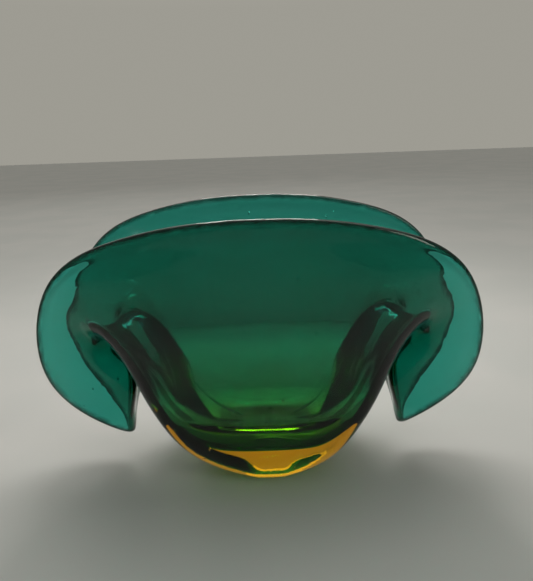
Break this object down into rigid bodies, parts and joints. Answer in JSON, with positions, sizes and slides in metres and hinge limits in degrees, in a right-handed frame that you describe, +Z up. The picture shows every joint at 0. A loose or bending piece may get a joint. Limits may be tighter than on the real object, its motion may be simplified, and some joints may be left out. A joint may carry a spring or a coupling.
{
  "type": "art glass bowl",
  "caption": "Free-standing blown glass bowl with upright wings and rolled-over ends, green glass cased in amber at the base.",
  "frame": {"origin": "centre of the flat ground foot, on the table", "axes": "+Z up, +X along the bowl's length to the right as seen from the front, +Y to the back"},
  "size_m": [0.2734, 0.111, 0.1791],
  "materials": {
    "green_glass": "fire-polished gloss",
    "amber_glass": "gloss, foot ground flat and polished"
  },
  "bodies": {
    "root": {"green_glass_bowl": "green_glass", "amber_base_casing": "amber_glass"}
  },
  "joints": []
}
